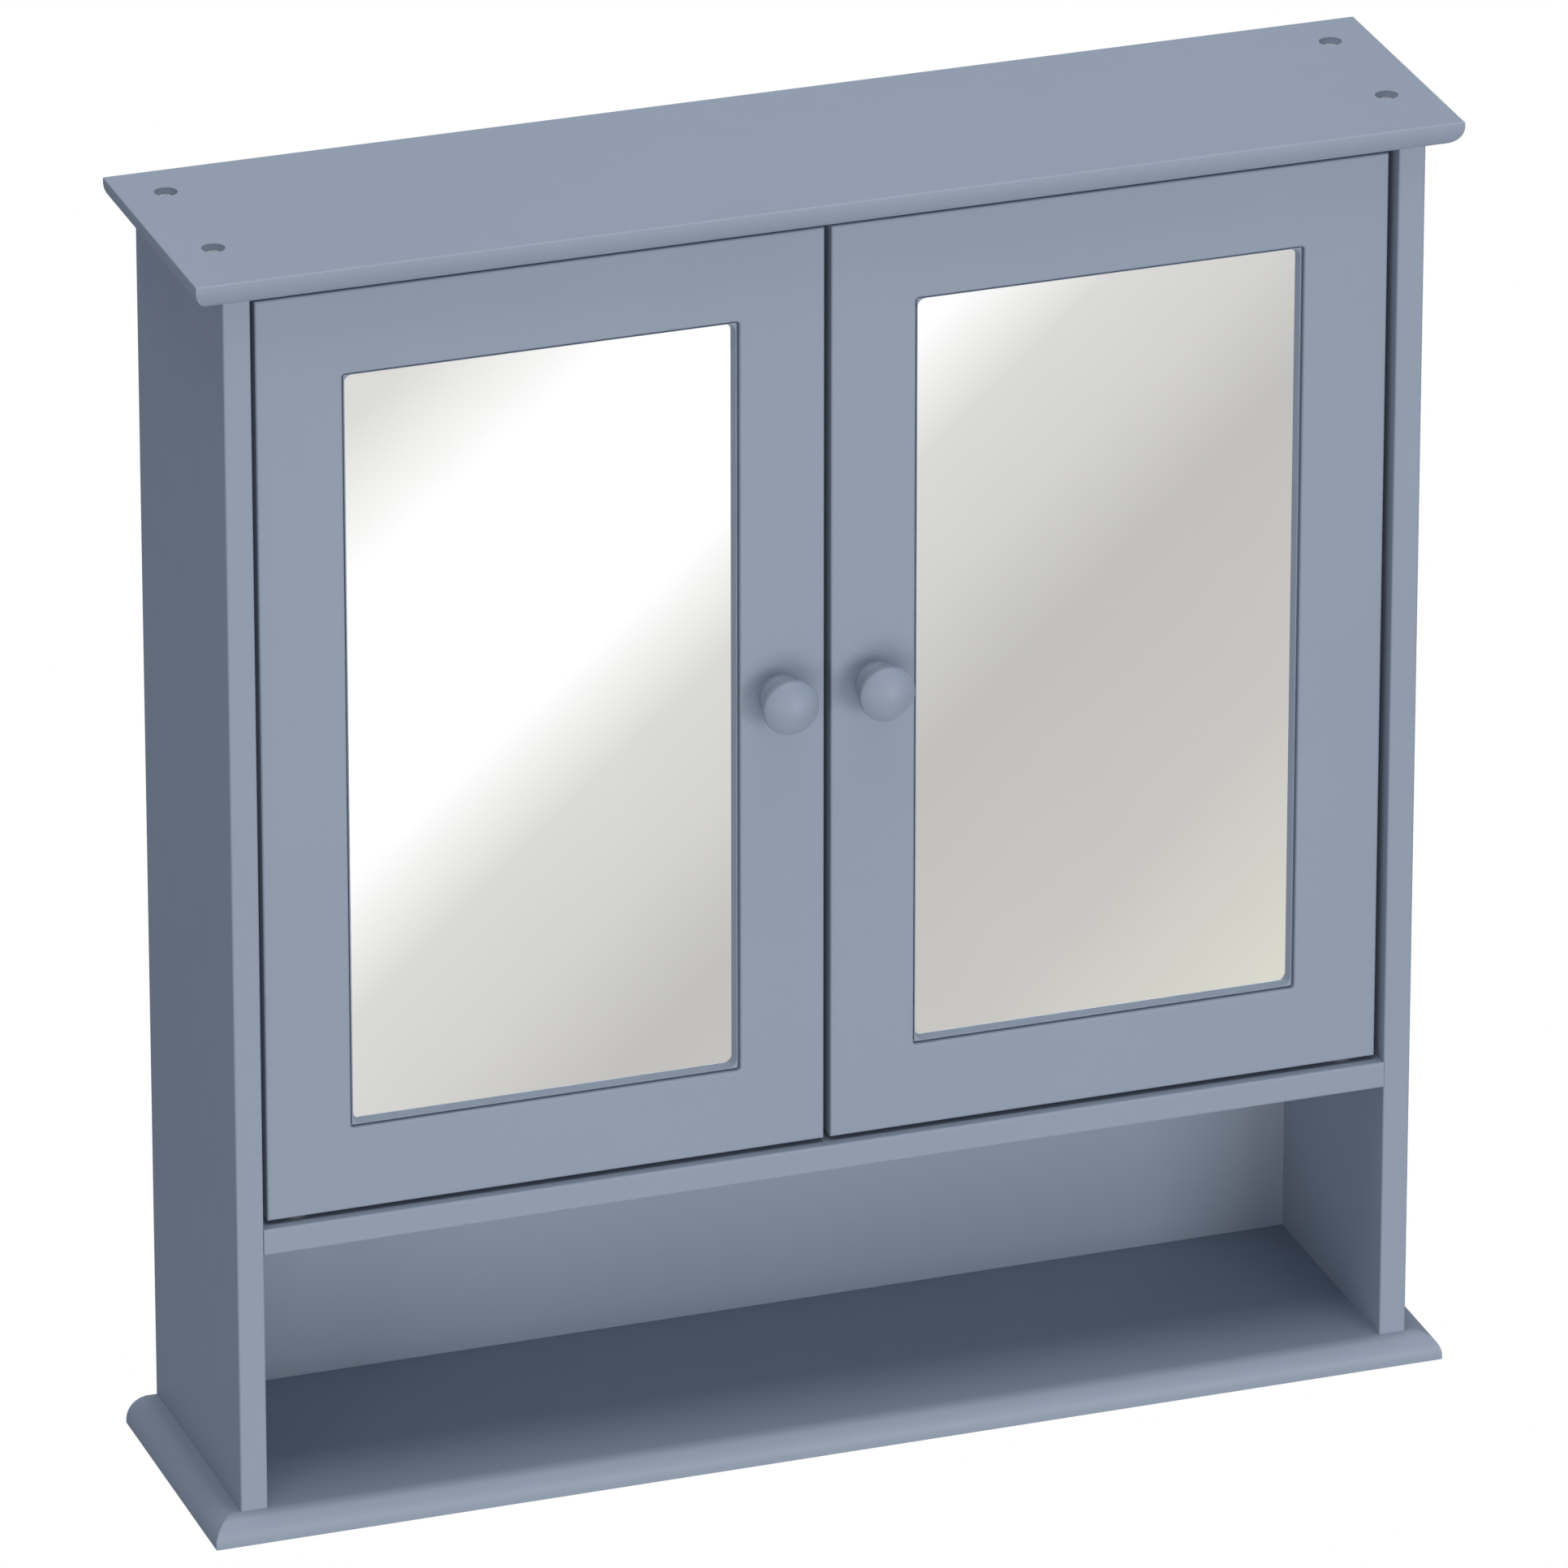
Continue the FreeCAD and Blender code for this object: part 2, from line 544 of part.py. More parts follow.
def fixed_shelf():
    """Held by cam locks let into its underside; the lower bushes stand in its top."""
    body = body_named("fixed_shelf")
    sketch = sketch_in(body, "XY_Plane", FIXED_SHELF_LOW)
    rectangle(sketch, less(INNER), less(CARCASS_FRONT), INNER, less("sizes.back_thickness"))
    pad(body, sketch, "sizes.board")
    front = -number(CARCASS_FRONT)
    round_edges(body, "sizes.ease", lambda edge: level(edge, "Y", front)
                and edge.BoundBox.XLength > LONG_EDGE)
    drill(body, "XY_Plane", FIXED_SHELF_LOW, CAM_PLACES, "sizes.cam_radius + sizes.fit",
          "sizes.cam_height", True)
    bolts = [(less(setback), SHELF_NAIL_Z) for setback in CAM_SETBACKS]
    bolt_run = "sizes.cam_inset"
    drill(body, "YZ_Plane", INNER, bolts, "sizes.cam_bolt_radius + sizes.fit", bolt_run)
    drill(body, "YZ_Plane", less(INNER), bolts, "sizes.cam_bolt_radius + sizes.fit", bolt_run,
          True)
    drill(body, "XY_Plane", FIXED_SHELF_TOP, PIVOT_PLACES, BUSH_HOLE_RADIUS, "sizes.bush_depth")
    drill(body, "XZ_Plane", "sizes.back_thickness", SHELF_NAILS, NAIL_HOLE_RADIUS, NAIL_HOLE,
          True)
    keep(body, "fixed_shelf")


def adjustable_shelf():
    body = body_named("adjustable_shelf")
    underside = f"({SUPPORT_LINE} + sizes.support_radius)"
    half = f"({INNER} - sizes.loose_shelf_gap)"
    sketch = sketch_in(body, "XY_Plane", underside)
    rectangle(sketch, less(half), less("sizes.loose_shelf_front"), half,
              less("(sizes.back_thickness + sizes.loose_shelf_gap)"))
    pad(body, sketch, "sizes.board")
    front = -number("sizes.loose_shelf_front")
    round_edges(body, "sizes.ease", lambda edge: level(edge, "Y", front)
                and edge.BoundBox.XLength > LONG_EDGE)
    keep(body, "adjustable_shelf")


def back_panel():
    """Thin board in the rebates, with the two wall-screw holes and its nail holes."""
    body = body_named("back_panel")
    half = f"({INNER} + sizes.back_rebate)"
    sketch = sketch_in(body, "XZ_Plane", "0")
    rectangle(sketch, less(half), f"({CARCASS_LOW} - sizes.back_rebate)", half,
              f"({CARCASS_HIGH} + sizes.back_rebate)")
    pad(body, sketch, "sizes.back_thickness")
    drill(body, "XZ_Plane", "0", WALL_HOLES, "sizes.wall_hole_radius", "sizes.back_thickness",
          True)
    drill(body, "XZ_Plane", "0", PANEL_NAILS + SHELF_NAILS, NAIL_HOLE_RADIUS,
          "sizes.back_thickness", True)
    keep(body, "back_panel")


def hanging_rail():
    """Upright board behind the doors that carries the cabinet on its wall screws."""
    body = body_named("hanging_rail")
    half_height = "(sizes.rail_height / 2)"
    sketch = sketch_in(body, "XZ_Plane", RAIL_BACK)
    rectangle(sketch, less(INNER), less(half_height), INNER, half_height)
    pad(body, sketch, "sizes.rail_thickness")
    drill(body, "XZ_Plane", RAIL_BACK, WALL_HOLES, "sizes.wall_hole_radius",
          "sizes.rail_thickness", True)
    dowels = [(less(f"({RAIL_BACK} + sizes.rail_thickness / 2)"), height)
              for height in DOWEL_HEIGHTS]
    for face, inwards in ((INNER, False), (less(INNER), True)):
        drill(body, "YZ_Plane", face, dowels, "sizes.dowel_radius + sizes.fit",
              "sizes.dowel_in_rail + sizes.hole_end", inwards)
    keep(body, "hanging_rail")


# ---- doors ----

def door_frame():
    """Right door frame, made in one piece, with a groove and a splay round the mirror."""
    body = body_named("right_door_frame")
    sketch = sketch_in(body, "XZ_Plane", DOOR_FRONT)
    rectangle(sketch, DOOR_NEAR, DOOR_LOW, DOOR_FAR, DOOR_HIGH)
    pad(body, sketch, "sizes.door_thickness", True)
    left = f"({DOOR_NEAR} + sizes.stile)"
    right = f"({DOOR_FAR} - sizes.stile)"
    low = f"({DOOR_LOW} + sizes.stile)"
    high = f"({DOOR_HIGH} - sizes.stile)"

    def opening(cut, margin, corner=None):
        """The mirror opening, made wider all round by a margin."""
        return rectangle(cut, f"({left} - {margin})", f"({low} - {margin})",
                         f"({right} + {margin})", f"({high} + {margin})", corner)

    moulding = "(sizes.splay + sizes.splay_top)"
    groove = f"({moulding} + sizes.quirk)"
    recess = sketch_in(body, "XZ_Plane", DOOR_FRONT)
    pocket(body, opening(recess, groove, "sizes.quirk_corner"), "sizes.splay_drop")
    ring = opening(sketch_in(body, "XZ_Plane", DOOR_FRONT), groove, "sizes.quirk_corner")
    opening(ring, moulding, "(sizes.quirk_corner - sizes.quirk)")
    pocket(body, ring, "sizes.quirk_depth")
    hole = sketch_in(body, "XZ_Plane", DOOR_FRONT)
    pocket(body, opening(hole, "0", "sizes.opening_corner"), "sizes.door_thickness")
    pocket(body, opening(sketch_in(body, "XZ_Plane", DOOR_BACK), "sizes.mirror_rebate"),
           "(sizes.door_thickness - sizes.lip)", True)
    front = -number(DOOR_FRONT)
    back = -number(DOOR_BACK)
    ledge = front + number("sizes.splay_drop")
    edge_limits = [number(DOOR_NEAR), number(DOOR_FAR)]
    opening_limits = [number(place) for place in (left, right, low, high)]

    def on_opening(edge):
        box = edge.BoundBox
        return (box.XMin > opening_limits[0] - TOLERANCE
                and box.XMax < opening_limits[1] + TOLERANCE
                and box.ZMin > opening_limits[2] - TOLERANCE
                and box.ZMax < opening_limits[3] + TOLERANCE)

    def on_outside(edge):
        box = edge.BoundBox
        return (near(box.XMin, edge_limits[0]) and (near(box.XMax, edge_limits[1])
                or near(box.XMax, edge_limits[0]))) or level(edge, "X", edge_limits[1])

    splay_edges(body, lambda edge: level(edge, "Y", ledge) and on_opening(edge))
    round_edges(body, "sizes.ease", lambda edge: level(edge, "Y", front))
    round_edges(body, "sizes.arris", lambda edge: level(edge, "Y", back) and on_outside(edge))
    pivot_radius = "(sizes.pivot_radius + sizes.fit)"
    pivot = [(PIVOT_X, less(PIVOT_BACK))]
    drill(body, "XY_Plane", DOOR_HIGH, pivot, pivot_radius, "sizes.pivot_in_door")
    drill(body, "XY_Plane", DOOR_LOW, pivot, pivot_radius, "sizes.pivot_in_door", True)
    drill(body, "XZ_Plane", DOOR_FRONT, [(KNOB_X, DOOR_MIDDLE)],
          "(sizes.knob_screw_radius + sizes.loose_fit)", "sizes.door_thickness")
    drill(body, "XZ_Plane", DOOR_BACK, [("sizes.magnet_centre", STRIKE_SCREW_Z)],
          SMALL_SCREW_HOLE_RADIUS, SMALL_SCREW_HOLE, True)
    both_sides(body, "door_frame")


STRIKE_SCREW_Z = f"({STRIKE_LOW} + sizes.strike_screw_up)"
REBATE_LEFT = f"({DOOR_NEAR} + sizes.stile - sizes.mirror_rebate)"
REBATE_RIGHT = f"({DOOR_FAR} - sizes.stile + sizes.mirror_rebate)"
REBATE_LOW = f"({DOOR_LOW} + sizes.stile - sizes.mirror_rebate)"
REBATE_HIGH = f"({DOOR_HIGH} - sizes.stile + sizes.mirror_rebate)"


def sheet_in_rebate(noun, front, thickness):
    """A flat sheet that lies in the door's rebate with a little play."""
    sheet = doc.addObject("Part::Box", "right_" + noun)
    sheet.setExpression("Length", f"{REBATE_RIGHT} - {REBATE_LEFT} - 2 * sizes.mirror_play")
    sheet.setExpression("Width", thickness)
    sheet.setExpression("Height", f"{REBATE_HIGH} - {REBATE_LOW} - 2 * sizes.mirror_play")
    place(sheet, f"({REBATE_LEFT} + sizes.mirror_play)", less(front),
          f"({REBATE_LOW} + sizes.mirror_play)")
    both_sides(sheet, noun)


def retaining_strips():
    """Four wooden strips that hold the mirror and its backing, flush with the door's back."""
    depth = f"({BACKING_BACK} - {DOOR_BACK})"
    section = "(sizes.mirror_rebate - sizes.mirror_play)"
    upright = f"({REBATE_HIGH} - {REBATE_LOW})"
    across = f"({REBATE_RIGHT} - {REBATE_LEFT} - 2 * {section})"
    strips = []
    for x, z, length, tall in (
            (REBATE_LEFT, REBATE_LOW, section, upright),
            (f"({REBATE_RIGHT} - {section})", REBATE_LOW, section, upright),
            (f"({REBATE_LEFT} + {section})", REBATE_LOW, across, section),
            (f"({REBATE_LEFT} + {section})", f"({REBATE_HIGH} - {section})", across, section)):
        strip = doc.addObject("Part::Box", "strip")
        strip.setExpression("Length", length)
        strip.setExpression("Width", depth)
        strip.setExpression("Height", tall)
        strips.append(place(strip, x, less(BACKING_BACK), z))
    group = doc.addObject("Part::Compound", "right_retaining_strips")
    group.Links = strips
    both_sides(group, "retaining_strips")


def knob():
    """Mushroom knob, turned, bored from its base for the threaded insert."""
    body = body_named("right_knob")
    rise = "(sizes.knob_length - sizes.knob_rim_high)"
    dome = f"((sizes.knob_radius * sizes.knob_radius + {rise} * {rise}) / (2 * {rise}))"
    bore = "(sizes.insert_radius + sizes.fit)"
    bore_end = "(sizes.insert_length + sizes.hole_end)"
    revolve(body, [
        (bore, "0"),
        ("sizes.knob_base_radius", "0"),
        ("sizes.knob_base_radius", "sizes.knob_base", "sizes.knob_neck_curve", -1),
        ("(sizes.knob_radius - sizes.knob_rim_slope)", "sizes.knob_rim_low"),
        ("sizes.knob_radius", "(sizes.knob_rim_low + sizes.knob_rim_rise)"),
        ("sizes.knob_radius", "sizes.knob_rim_high", dome, 1),
        ("0", "sizes.knob_length"),
        ("0", bore_end),
        (bore, bore_end),
    ])
    rim = number("sizes.knob_radius")
    rim_high = number("sizes.knob_rim_high")
    base_edge = number("sizes.knob_base_radius")
    round_edges(body, "sizes.knob_round", lambda edge: level(edge, "Z", rim_high)
                and near(edge.BoundBox.XMax, rim))
    round_edges(body, "sizes.arris", lambda edge: level(edge, "Z", number("sizes.knob_base"))
                and near(edge.BoundBox.XMax, base_edge))
    place(body, KNOB_X, less(DOOR_FRONT), DOOR_MIDDLE, TO_FRONT)
    both_sides(body, "knob")


def tube(name, outer, inner, length):
    """A plain tube along +Z."""
    body = body_named(name)
    revolve(body, [(inner, "0"), (outer, "0"), (outer, length), (inner, length)])
    return body


def knob_insert():
    insert = tube("right_knob_insert", "sizes.insert_radius",
                  "(sizes.knob_screw_radius + sizes.fit)", "sizes.insert_length")
    place(insert, KNOB_X, less(DOOR_FRONT), DOOR_MIDDLE, TO_FRONT)
    both_sides(insert, "knob_insert")


# ---- screws and fittings ----

def screw(name, head_radius, head, shank_radius, length, tip):
    """A screw with a domed, cross-recessed head above Z = 0 and its shank below."""
    body = body_named(name)
    rim = f"({HEAD_RIM_SHARE} * {head})"
    rise = f"({head} - {rim})"
    dome = f"(({head_radius} * {head_radius} + {rise} * {rise}) / (2 * {rise}))"
    revolve(body, [
        ("0", less(length)),
        (f"({TIP_SHARE} * {shank_radius})", less(length)),
        (shank_radius, f"({tip} - {length})"),
        (shank_radius, "0"),
        (head_radius, "0"),
        (head_radius, rim, dome, 1),
        ("0", head),
    ])
    reach = f"({CROSS_REACH_SHARE} * {head_radius})"
    half = f"({CROSS_HALF_SHARE} * {head_radius})"
    cross = sketch_in(body, "XY_Plane", head)
    arm = [(reach, half), (half, half), (half, reach)]
    corners = arm + [(less(x), z) for x, z in reversed(arm)]
    corners += [(less(x), less(z)) for x, z in arm] + [(x, less(z)) for x, z in reversed(arm)]
    outline(cross, corners)
    pocket(body, cross, f"({CROSS_DEPTH_SHARE} * {head})")
    return body


def board_screws():
    master = screw("board_screw", "sizes.screw_head_radius", "sizes.screw_head",
                   "sizes.screw_radius", "sizes.screw_length", "sizes.screw_radius")
    top = f"({CARCASS_HIGH} + sizes.board - sizes.head_sunk - sizes.screw_head)"
    low = f"({BASE} + sizes.head_sunk + sizes.screw_head)"
    copies("top_board_screws", master, [(x, y, top) for x, y in BOARD_SCREW_PLACES])
    copies("bottom_board_screws", master,
           [(x, y, low, UPSIDE_DOWN) for x, y in BOARD_SCREW_PLACES])


def knob_screw():
    length = "(sizes.door_thickness + sizes.knob_screw_reach)"
    body = screw("right_knob_screw", "sizes.knob_screw_head_radius", "sizes.knob_screw_head",
                 "sizes.knob_screw_radius", length, "sizes.knob_screw_tip")
    place(body, KNOB_X, less(DOOR_BACK), DOOR_MIDDLE, TO_WALL)
    both_sides(body, "knob_screw")


def catch_housing():
    """Plastic block with two ears, screwed under the top board behind the doors."""
    body = body_named("catch_housing")
    block = "(sizes.catch_width / 2)"
    ear = f"({block} + sizes.catch_ear)"
    low = f"({CARCASS_HIGH} - sizes.catch_height)"
    ear_low = f"({CARCASS_HIGH} - sizes.catch_ear_thickness)"
    half = [(block, low), (block, ear_low), (ear, ear_low), (ear, CARCASS_HIGH)]
    sketch = sketch_in(body, "XZ_Plane", CATCH_FRONT)
    outline(sketch, half + [(less(x), z) for x, z in reversed(half)])
    pad(body, sketch, "sizes.catch_depth", True)
    magnets = sketch_in(body, "XZ_Plane", CATCH_FRONT)
    for centre in ("sizes.magnet_centre", less("sizes.magnet_centre")):
        rectangle(magnets, f"({centre} - sizes.magnet_width / 2)",
                  f"({MAGNET_HIGH} - sizes.magnet_height)",
                  f"({centre} + sizes.magnet_width / 2)", MAGNET_HIGH)
    pocket(body, magnets, "(sizes.magnet_depth - sizes.magnet_proud)")
    drill(body, "XY_Plane", ear_low, CATCH_SCREW_PLACES, SMALL_SCREW_HOLE_RADIUS,
          "sizes.catch_ear_thickness", True)
    keep(body, "catch_housing")


def catch_magnets():
    magnet = doc.addObject("Part::Box", "magnet")
    magnet.setExpression("Length", "sizes.magnet_width")
    magnet.setExpression("Width", "sizes.magnet_depth")
    magnet.setExpression("Height", "sizes.magnet_height")
    low = f"({MAGNET_HIGH} - sizes.magnet_height)"
    copies("catch_magnets", magnet,
           [(f"({centre} - sizes.magnet_width / 2)", less(MAGNET_FRONT), low)
            for centre in ("sizes.magnet_centre", less("sizes.magnet_centre"))])


def catch_screws():
    length = "(sizes.catch_ear_thickness + sizes.small_screw_length)"
    master = screw("catch_screw", "sizes.small_screw_head_radius", "sizes.small_screw_head",
                   "sizes.small_screw_radius", length, "sizes.small_screw_radius")
    low = f"({CARCASS_HIGH} - sizes.catch_ear_thickness)"
    copies("catch_screws", master, [(x, y, low, UPSIDE_DOWN) for x, y in CATCH_SCREW_PLACES])


def strike_plate():
    body = body_named("right_strike_plate")
    half = "(sizes.strike_width / 2)"
    sketch = sketch_in(body, "XZ_Plane", DOOR_BACK)
    rectangle(sketch, f"(sizes.magnet_centre - {half})", STRIKE_LOW,
              f"(sizes.magnet_centre + {half})", STRIKE_HIGH)
    pad(body, sketch, "sizes.strike_thickness", True)
    drill(body, "XZ_Plane", DOOR_BACK, [("sizes.magnet_centre", STRIKE_SCREW_Z)],
          SMALL_SCREW_HOLE_RADIUS, "sizes.strike_thickness")
    both_sides(body, "strike_plate")


def strike_screw():
    length = "(sizes.strike_thickness + sizes.small_screw_length)"
    body = screw("right_strike_screw", "sizes.small_screw_head_radius",
                 "sizes.small_screw_head", "sizes.small_screw_radius", length,
                 "sizes.small_screw_radius")
    place(body, "sizes.magnet_centre", f"({less(DOOR_BACK)} + sizes.strike_thickness)",
          STRIKE_SCREW_Z, TO_WALL)
    both_sides(body, "strike_screw")


def pivot_bushes(noun, flange, low, rotation):
    """Nylon bushes, the flange against the board's face."""
    body = body_named(noun)
    bore = "(sizes.pivot_radius + sizes.fit)"
    end = "(sizes.bush_depth - sizes.loose_fit)"
    revolve(body, [
        (bore, less(flange)),
        ("sizes.bush_flange_radius", less(flange)),
        ("sizes.bush_flange_radius", "0"),
        ("sizes.bush_radius", "0"),
        ("sizes.bush_radius", end),
        (bore, end),
    ])
    copies(noun + "es", body, [(x, y, low, rotation) for x, y in PIVOT_PLACES])


def pivot_pins():
    """Steel pins in the door's top and bottom edges."""
    pins = []
    for gap, low in (("sizes.door_top_gap", f"({DOOR_HIGH} - sizes.pivot_in_door)"),
                     ("sizes.door_low_gap",
                      f"({FIXED_SHELF_TOP} - sizes.pivot_in_bush)")):
        pin = doc.addObject("Part::Cylinder", "pivot_pin")
        pin.setExpression("Radius", "sizes.pivot_radius")
        pin.setExpression("Height", f"sizes.pivot_in_door + {gap} + sizes.pivot_in_bush")
        pins.append(place(pin, PIVOT_X, less(PIVOT_BACK), low))
    group = doc.addObject("Part::Compound", "right_pivot_pins")
    group.Links = pins
    both_sides(group, "pivot_pins")


def turned_group(noun, steps, spots):
    """Identical stepped pins: each step is (radius, from, to) along +Z."""
    body = body_named(noun)
    corners = [("0", steps[0][1])]
    for radius, start, end in steps:
        corners += [(radius, start), (radius, end)]
    corners.append(("0", steps[-1][2]))
    revolve(body, corners)
    copies(noun + "s", body, spots)


def cam_bolts():
    """Each reaches from a side panel into a cam lock; +Z of the pin points to the cam."""
    reach = "(sizes.cam_inset - sizes.cam_bolt_tip)"
    head = f"({reach} - sizes.cam_bolt_head)"
    neck = f"({head} - sizes.cam_bolt_neck_length)"
    steps = [("sizes.cam_bolt_thread", less("sizes.cam_bolt_depth"), "0"),
             ("sizes.cam_bolt_radius", "0", neck),
             ("sizes.cam_bolt_neck", neck, head),
             ("sizes.cam_bolt_radius", head, reach)]
    spots = []
    for setback in CAM_SETBACKS:
        spots.append((INNER, less(setback), SHELF_NAIL_Z, TO_LEFT))
        spots.append((less(INNER), less(setback), SHELF_NAIL_Z, TO_RIGHT))
    turned_group("cam_bolt", steps, spots)


def cam_locks():
    """Round zinc locks in the fixed shelf, each bored from one side for its bolt's head."""
    body = body_named("cam_lock")
    disc = circles(sketch_in(body, "XY_Plane"), [("0", "0")], "sizes.cam_radius")
    pad(body, disc, "sizes.cam_height")
    axis = "(sizes.board / 2)"
    drill(body, "YZ_Plane", "sizes.cam_radius", [("0", axis)],
          "(sizes.cam_bolt_radius + sizes.loose_fit)", "(sizes.cam_radius + sizes.cam_bolt_tip)")
    reach = f"({SLOT_REACH_SHARE} * sizes.cam_radius)"
    half = f"({SLOT_HALF_SHARE} * sizes.cam_radius)"
    slot = rectangle(sketch_in(body, "XY_Plane", "0"), less(reach), less(half), reach, half)
    pocket(body, slot, "sizes.cam_slot_depth", True)
    spots = []
    for x, y in CAM_PLACES:
        turn = (FreeCAD.Vector(0, 0, 1), 0 if number(x) > 0 else 180)
        spots.append((x, y, FIXED_SHELF_LOW, turn))
    copies("cam_locks", body, spots)


def shelf_support_pins():
    collar = "(sizes.loose_shelf_gap - sizes.support_collar_gap)"
    steps = [("sizes.support_radius", less("sizes.support_depth"), "0"),
             ("sizes.support_collar_radius", "0", collar),
             ("sizes.support_radius", collar,
              "(sizes.loose_shelf_gap + sizes.support_reach)")]
    spots = []
    for setback in ("sizes.support_back", "sizes.support_front"):
        spots.append((INNER, less(setback), SUPPORT_LINE, TO_LEFT))
        spots.append((less(INNER), less(setback), SUPPORT_LINE, TO_RIGHT))
    turned_group("shelf_support_pin", steps, spots)


def rail_dowels():
    steps = [("sizes.dowel_radius", less("sizes.dowel_in_panel"), "sizes.dowel_in_rail")]
    middle = less(f"({RAIL_BACK} + sizes.rail_thickness / 2)")
    spots = []
    for height in DOWEL_HEIGHTS:
        spots.append((INNER, middle, height, TO_LEFT))
        spots.append((less(INNER), middle, height, TO_RIGHT))
    turned_group("rail_dowel", steps, spots)


def back_panel_nails():
    steps = [("sizes.nail_radius", "0", "sizes.nail_length")]
    spots = [(x, "0", z, TO_FRONT) for x, z in PANEL_NAILS + SHELF_NAILS]
    turned_group("back_panel_nail", steps, spots)


top_board()
moulded_board("bottom_board", BASE, False)
side_panel()
fixed_shelf()
adjustable_shelf()
back_panel()
hanging_rail()
rail_dowels()
shelf_support_pins()
cam_locks()
cam_bolts()
back_panel_nails()
board_screws()
catch_housing()
catch_magnets()
catch_screws()
pivot_bushes("upper_pivot_bush", "sizes.top_flange", CARCASS_HIGH, None)
pivot_bushes("lower_pivot_bush", "sizes.low_flange", FIXED_SHELF_TOP, UPSIDE_DOWN)
door_frame()
sheet_in_rebate("mirror", MIRROR_FRONT, "sizes.mirror_thickness")
sheet_in_rebate("mirror_backing", MIRROR_BACK, "sizes.backing_thickness")
retaining_strips()
knob()
knob_insert()
knob_screw()
pivot_pins()
strike_plate()
strike_screw()

doc.recompute()
for piece in doc.Objects:
    if "Invalid" in piece.State or "Error" in piece.State:
        raise RuntimeError(f"{piece.Label} failed: {piece.State}")
for piece in subparts:
    if piece.Shape.isNull() or not piece.Shape.isValid():
        raise RuntimeError(f"{piece.Label} has no valid shape")
os.makedirs("parts", exist_ok=True)
for piece in subparts:
    piece.Shape.exportStep(f"parts/{piece.Label}.step")
    box = piece.Shape.BoundBox
    limits = (box.XMin, box.XMax, box.YMin, box.YMax, box.ZMin, box.ZMax)
    print(piece.Label, len(piece.Shape.Solids), "solids", round(piece.Shape.Volume),
          "mm3", [round(limit, 2) for limit in limits])
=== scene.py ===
import json
import math

import bpy
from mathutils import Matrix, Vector

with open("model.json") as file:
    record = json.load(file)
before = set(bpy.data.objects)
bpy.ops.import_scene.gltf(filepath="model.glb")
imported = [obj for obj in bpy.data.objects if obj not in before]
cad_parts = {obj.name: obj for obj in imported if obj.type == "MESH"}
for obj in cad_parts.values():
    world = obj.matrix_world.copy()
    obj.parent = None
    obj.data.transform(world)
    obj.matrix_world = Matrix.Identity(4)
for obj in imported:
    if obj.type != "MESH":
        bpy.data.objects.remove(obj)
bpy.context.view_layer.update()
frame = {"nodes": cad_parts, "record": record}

SLOT_OF = {entry["node"]: entry["material_slot"] for entry in frame["record"]["subparts"]}

# Colours are linear.
WHITE = (1.0, 1.0, 1.0)
PAINT = (0.285, 0.334, 0.412)
HARDBOARD_BROWN = (0.21, 0.125, 0.065)
AMBIENT = (0.237, 0.259, 0.304)
PORE_FINENESS = 12       # how much finer a wood's pores are than its rings
MIRRORED_WHITE = 1.1     # strength of the studio's white in a mirror

# The Mix node's sockets for colours.  Its other modes use the same names.
MIX_FACTOR, MIX_FIRST, MIX_SECOND, MIX_RESULT = 0, 6, 7, 2


# ---- node helpers ----

class Shader:
    """A node tree with short ways to add, blend and join nodes."""

    def __init__(self, tree):
        self.tree = tree
        self.position = self.add("ShaderNodeTexCoord").outputs["Object"]

    def join(self, value, socket):
        """Link a socket, or set a plain value."""
        if isinstance(value, bpy.types.NodeSocket):
            self.tree.links.new(value, socket)
        else:
            socket.default_value = value

    def add(self, kind, inputs=None, **properties):
        """A new node with its properties and inputs set."""
        node = self.tree.nodes.new(kind)
        for name, value in properties.items():
            setattr(node, name, value)
        for name, value in (inputs or {}).items():
            self.join(value, node.inputs[name])
        return node

    def stretched(self, scale):
        """The position, squeezed or stretched along each axis."""
        mapping = self.add("ShaderNodeMapping", {"Vector": self.position, "Scale": scale})
        return mapping.outputs["Vector"]

    def noise(self, scale, detail=3.0, roughness=0.5, vector=None):
        node = self.add("ShaderNodeTexNoise", {
            "Vector": vector or self.position, "Scale": scale,
            "Detail": detail, "Roughness": roughness})
        return node.outputs["Fac"]

    def spread(self, value, low, high, start=0.0, end=1.0):
        """Map value from low..high onto start..end, clamped."""
        node = self.add("ShaderNodeMapRange", {
            "Value": value, "From Min": low, "From Max": high, "To Min": start, "To Max": end})
        return node.outputs["Result"]

    def blend(self, factor, first, second):
        """A colour between two colours."""
        inputs = {MIX_FACTOR: factor, MIX_FIRST: first, MIX_SECOND: second}
        return self.add("ShaderNodeMix", inputs, data_type="RGBA").outputs[MIX_RESULT]

    def maths(self, operation, *values):
        """One Math node, with its values in order."""
        return self.add("ShaderNodeMath", dict(enumerate(values)), operation=operation).outputs[0]

    def axes(self):
        node = self.add("ShaderNodeSeparateXYZ", {"Vector": self.position})
        return node.outputs["X"], node.outputs["Y"], node.outputs["Z"]


